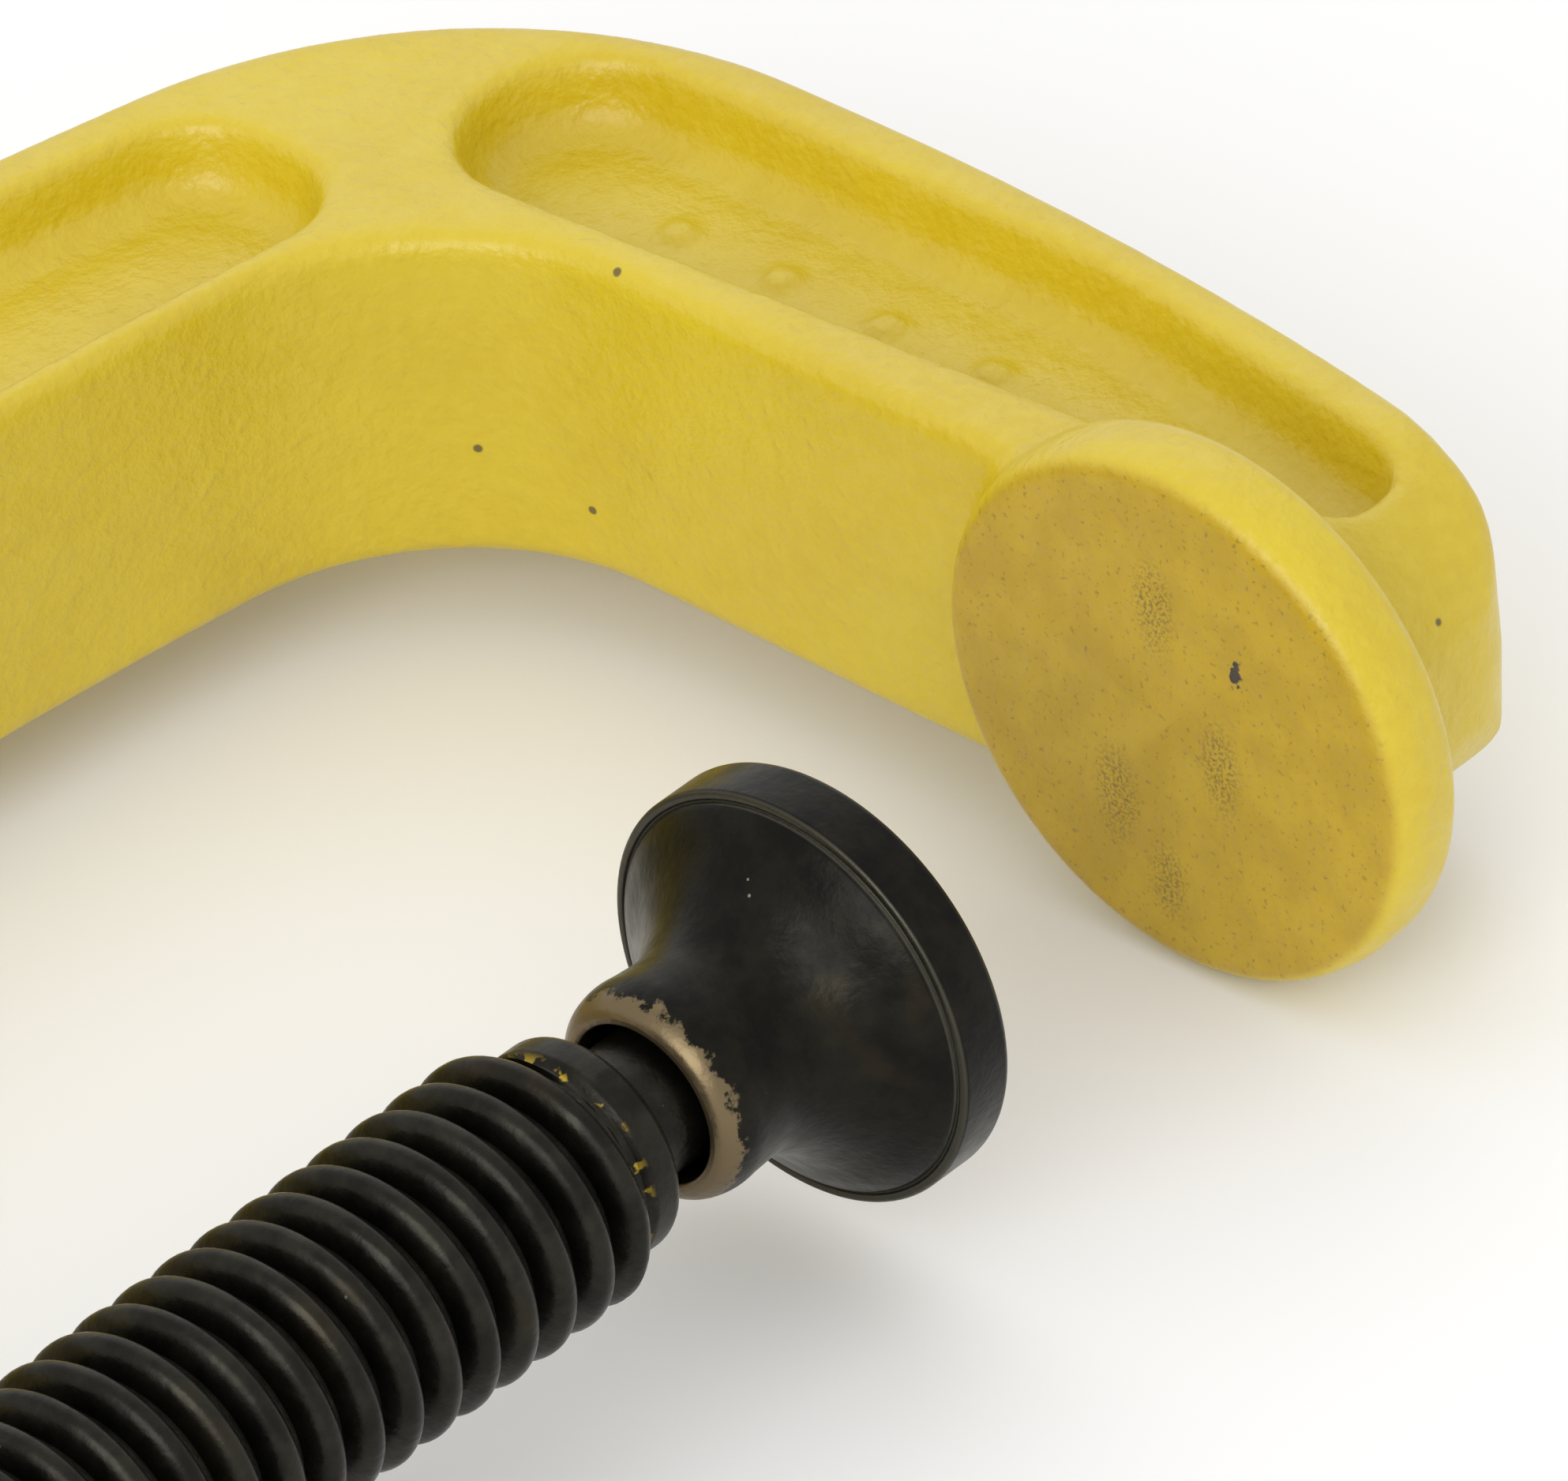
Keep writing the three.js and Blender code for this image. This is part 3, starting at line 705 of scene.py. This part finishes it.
def paint_material():
    n = Nodes("cast_yellow_paint")
    base = n.mix(n.ramp(n.noise(55, 3), 0.35, 0.65), srgb(208, 183, 26), srgb(202, 175, 20))
    base = n.mix(n.ramp(n.noise(900, 3), 0.35, 0.75, 0, 0.35), base, srgb(212, 190, 48))
    face = anvil_mask(n)
    ochre = n.mix(n.ramp(n.noise(260, 4), 0.35, 0.65), srgb(188, 155, 10), srgb(178, 145, 8))
    speckle = n.ramp(n.noise(2400, 2), 0.6, 0.7, 0, 0.45)
    ochre = n.mix(speckle, ochre, srgb(96, 78, 26))
    rub = 0.0
    for place, radius in RUBBED_PLACES:
        spot = n.ramp(from_point(n, place, (0.3, 1.5, 0.7)), radius * 0.3, radius, 1, 0)
        rub = n.math("MAXIMUM", spot, rub)
    rub = n.math("MULTIPLY", rub, n.ramp(n.noise(4200, 3, 0.6), 0.46, 0.6))
    ochre = n.mix(n.math("MULTIPLY", rub, 0.6), ochre, srgb(74, 58, 28))
    base = n.mix(face, base, ochre)
    wobble = n.ramp(n.noise(1500, 3), 0.3, 0.7, -0.0004, 0.0004)
    chip = n.ramp(n.math("ADD", from_point(n, CHIP_PLACE, (0.3, 1.6, 0.9)), wobble), 0.0005, 0.0008, 1, 0)
    base = n.mix(chip, base, srgb(48, 40, 30))
    specks = n.ramp(n.cells(170), 0.035, 0.06, 0.85, 0)
    specks = n.math("MULTIPLY", specks, n.ramp(n.noise(35, 2), 0.52, 0.6))
    base = n.mix(specks, base, srgb(70, 58, 30))
    n.put(n.shader.inputs["Base Color"], base)
    rough = n.ramp(n.noise(400, 4), 0.3, 0.7, 0.34, 0.5)
    n.put(n.shader.inputs["Roughness"], n.math("ADD", rough, n.math("MULTIPLY", face, 0.1)))
    n.shader.inputs["Coat Weight"].default_value = 0.3
    n.shader.inputs["Coat Roughness"].default_value = 0.3
    lumps = n.bump(n.noise(1500, 2, 0.5), 0.0002, 0.8)
    lumps = n.bump(n.noise(450, 2, 0.5), 0.00035, 0.5, lumps)
    lumps = n.bump(n.math("ADD", chip, specks), 0.00015, -0.8, lumps)
    n.put(n.shader.inputs["Normal"], lumps)
    return n.material


def black_nodes(name, low=(30, 29, 25), high=(46, 44, 37), rough=(0.26, 0.4)):
    n = Nodes(name)
    base = n.mix(n.ramp(n.noise(320, 5, 0.65), 0.35, 0.68), srgb(*low), srgb(*high))
    base = n.mix(n.ramp(n.noise(140, 3), 0.55, 0.75, 0, 0.3), base, srgb(62, 53, 36))
    glints = n.ramp(n.cells(420), 0.03, 0.05, 0.8, 0)
    glints = n.math("MULTIPLY", glints, n.ramp(n.noise(80, 2), 0.55, 0.62))
    base = n.mix(glints, base, srgb(150, 145, 130))
    n.shader.inputs["Metallic"].default_value = 0.85
    n.put(n.shader.inputs["Roughness"], n.ramp(n.noise(520, 4), 0.3, 0.7, *rough))
    n.put(n.shader.inputs["Normal"], n.bump(n.noise(1600, 3), 0.00006, 0.6))
    return n, base


def thread_material():
    n, base = black_nodes("black_oxide_thread")
    x = n.node("ShaderNodeSeparateXYZ", {"Vector": n.place}).outputs["X"]
    band = n.math("MULTIPLY", n.ramp(x, -0.0512, -0.0504), n.ramp(x, -0.0502, -0.0496, 1, 0))
    dabs = n.math("MULTIPLY", band, n.ramp(n.noise(700, 3), 0.54, 0.6))
    n.put(n.shader.inputs["Base Color"], n.mix(dabs, base, srgb(176, 148, 48)))
    return n.material


def pad_material():
    n, base = black_nodes("black_oxide_pad", (19, 18, 15), (30, 29, 23), (0.3, 0.4))
    x = n.node("ShaderNodeSeparateXYZ", {"Vector": n.place}).outputs["X"]
    ragged = n.math("ADD", x, n.ramp(n.noise(900, 4, 0.7), 0.3, 0.7, -0.0005, 0.0005))
    worn = n.ramp(ragged, -0.0430, -0.0426, 1, 0)
    base = n.mix(n.math("MULTIPLY", worn, 0.85), base, srgb(124, 108, 80))
    ridge = n.math("MULTIPLY", n.ramp(x, -0.03150, -0.03165), n.ramp(x, -0.03185, -0.03175))
    base = n.mix(n.math("MULTIPLY", ridge, 0.25), base, srgb(120, 116, 100))
    n.put(n.shader.inputs["Base Color"], base)
    return n.material


def steel_material(name, low, high):
    n, base = black_nodes(name, low, high, (0.24, 0.4))
    n.put(n.shader.inputs["Base Color"], base)
    return n.material


# --- assembly -------------------------------------------------------------------------------------

def finish_piece(piece, material, body, slot, *nodes):
    piece.data.materials.clear()
    piece.data.materials.append(material)
    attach(piece, body)
    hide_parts(*nodes)


finish_piece(build_frame(), paint_material(), "frame", "frame_paint", "frame")
finish_piece(build_spindle(), thread_material(), "spindle", "spindle_steel", "spindle")
finish_piece(build_pad(), pad_material(), "pad", "pad_steel", "swivel_pad")
wire = steel_material("spring_wire", (120, 120, 118), (160, 158, 152))
finish_piece(build_ring(), wire, "ring", "ring_steel", "retaining_ring")
rod = steel_material("bar_black", (34, 34, 34), (70, 68, 62))
finish_piece(build_bar(), rod, "bar", "bar_steel", "tommy_bar")
cap = steel_material("cap_black", (30, 30, 30), (62, 60, 55))
finish_piece(build_cap("cap_left", 1), cap, "bar", "cap_steel", "bar_cap_left")
finish_piece(build_cap("cap_right", -1), cap, "bar", "cap_steel", "bar_cap_right")


# --- stage ----------------------------------------------------------------------------------------

def add_floor():
    bm = bmesh.new()
    size = FLOOR_HALF_SIZE
    corners = [(-size, -size), (size, -size), (size, size), (-size, size)]
    z = cad_bounds[0][2] - FLOOR_GAP
    bm.faces.new([bm.verts.new((x, y, z)) for x, y in corners])
    floor = object_from("floor", bm)
    material = bpy.data.materials.new("pale_floor")
    material.use_nodes = True
    shader = material.node_tree.nodes["Principled BSDF"]
    shader.inputs["Base Color"].default_value = FLOOR_COLOR
    shader.inputs["Roughness"].default_value = 0.9
    floor.data.materials.append(material)


def add_light(name, place, size, power):
    data = bpy.data.lights.new(name, "AREA")
    data.size = size
    data.energy = power
    light = bpy.data.objects.new(name, data)
    light.location = place
    light.rotation_euler = (Vector(LIGHT_TARGET) - Vector(place)).to_track_quat("-Z", "Y").to_euler()
    bpy.context.scene.collection.objects.link(light)


def add_camera():
    azimuth = math.radians(CAMERA_AZIMUTH)
    elevation = math.radians(CAMERA_ELEVATION)
    roll = math.radians(CAMERA_ROLL)
    back = Vector((
        math.sin(azimuth) * math.cos(elevation),
        -math.cos(azimuth) * math.cos(elevation),
        math.sin(elevation),
    ))
    right = Vector((math.cos(azimuth), math.sin(azimuth), 0))
    up = back.cross(right)
    right, up = (
        math.cos(roll) * right + math.sin(roll) * up,
        math.cos(roll) * up - math.sin(roll) * right,
    )
    data = bpy.data.cameras.new("camera")
    data.sensor_width = CAMERA_SENSOR
    data.lens = CAMERA_LENS
    data.clip_start = 0.01
    data.clip_end = 20
    camera = bpy.data.objects.new("camera", data)
    camera.matrix_world = Matrix((
        (right.x, up.x, back.x, CAMERA_PLACE[0]),
        (right.y, up.y, back.y, CAMERA_PLACE[1]),
        (right.z, up.z, back.z, CAMERA_PLACE[2]),
        (0, 0, 0, 1),
    ))
    bpy.context.scene.collection.objects.link(camera)
    bpy.context.scene.camera = camera


add_floor()
add_camera()
add_light("key", *KEY_LIGHT)
add_light("fill", *FILL_LIGHT)
world = bpy.data.worlds.new("studio")
world.use_nodes = True
world.node_tree.nodes["Background"].inputs["Color"].default_value = (1, 1, 1, 1)
world.node_tree.nodes["Background"].inputs["Strength"].default_value = WORLD_STRENGTH
bpy.context.scene.world = world
bpy.context.scene.view_settings.view_transform = "Standard"
